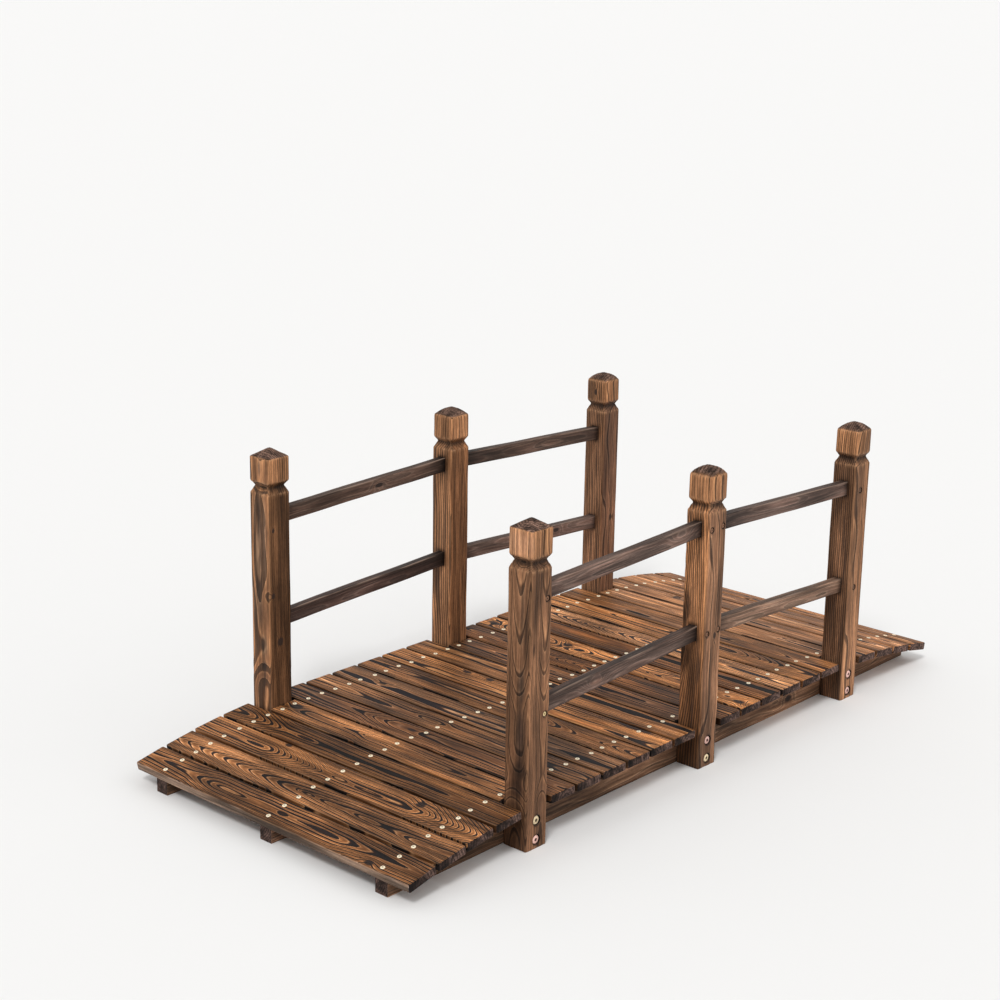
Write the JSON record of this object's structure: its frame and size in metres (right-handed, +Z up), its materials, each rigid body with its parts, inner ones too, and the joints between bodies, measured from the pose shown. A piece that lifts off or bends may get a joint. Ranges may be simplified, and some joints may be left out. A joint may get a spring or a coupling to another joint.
{
  "type": "arched garden footbridge",
  "caption": "Small arched wooden garden footbridge of darkened softwood, with a slatted deck, square posts with low pyramid tops and two handrails on each side.",
  "frame": {"origin": "on the ground under the middle of the deck, midway along and midway across", "axes": "+X along the bridge towards its right end, +Y across it towards the back side, +Z up"},
  "size_m": [1.5054, 0.66, 0.55],
  "materials": {
    "deck_wood": "flame-darkened, stained brown, dark grain",
    "stringer_wood": "stained brown, rough",
    "post_wood": "flame-darkened, stained brown, strong straight grain",
    "rail_wood": "flame-darkened, greyish brown",
    "nail_brass": "dull yellow metal",
    "bolt_steel": "zinc with a warm tint"
  },
  "bodies": {
    "root": {"deck_board_01": "deck_wood", "deck_board_02": "deck_wood", "deck_board_03": "deck_wood", "deck_board_04": "deck_wood", "deck_board_05": "deck_wood", "deck_board_06": "deck_wood", "deck_board_07": "deck_wood", "deck_board_08": "deck_wood", "deck_board_09": "deck_wood", "deck_board_10": "deck_wood", "deck_board_11": "deck_wood", "deck_board_12": "deck_wood", "deck_board_13": "deck_wood", "deck_board_14": "deck_wood", "deck_board_15": "deck_wood", "deck_board_16": "deck_wood", "deck_board_17": "deck_wood", "deck_board_18": "deck_wood", "deck_board_19": "deck_wood", "deck_board_20": "deck_wood", "deck_board_21": "deck_wood", "deck_board_22": "deck_wood", "deck_board_23": "deck_wood", "stringer_front": "stringer_wood", "stringer_middle": "stringer_wood", "stringer_back": "stringer_wood", "post_front_left": "post_wood", "post_front_middle": "post_wood", "post_front_right": "post_wood", "post_back_left": "post_wood", "post_back_middle": "post_wood", "post_back_right": "post_wood", "rail_front_left_upper": "rail_wood", "rail_front_left_lower": "rail_wood", "rail_front_right_upper": "rail_wood", "rail_front_right_lower": "rail_wood", "rail_back_left_upper": "rail_wood", "rail_back_left_lower": "rail_wood", "rail_back_right_upper": "rail_wood", "rail_back_right_lower": "rail_wood"}
  },
  "joints": []
}
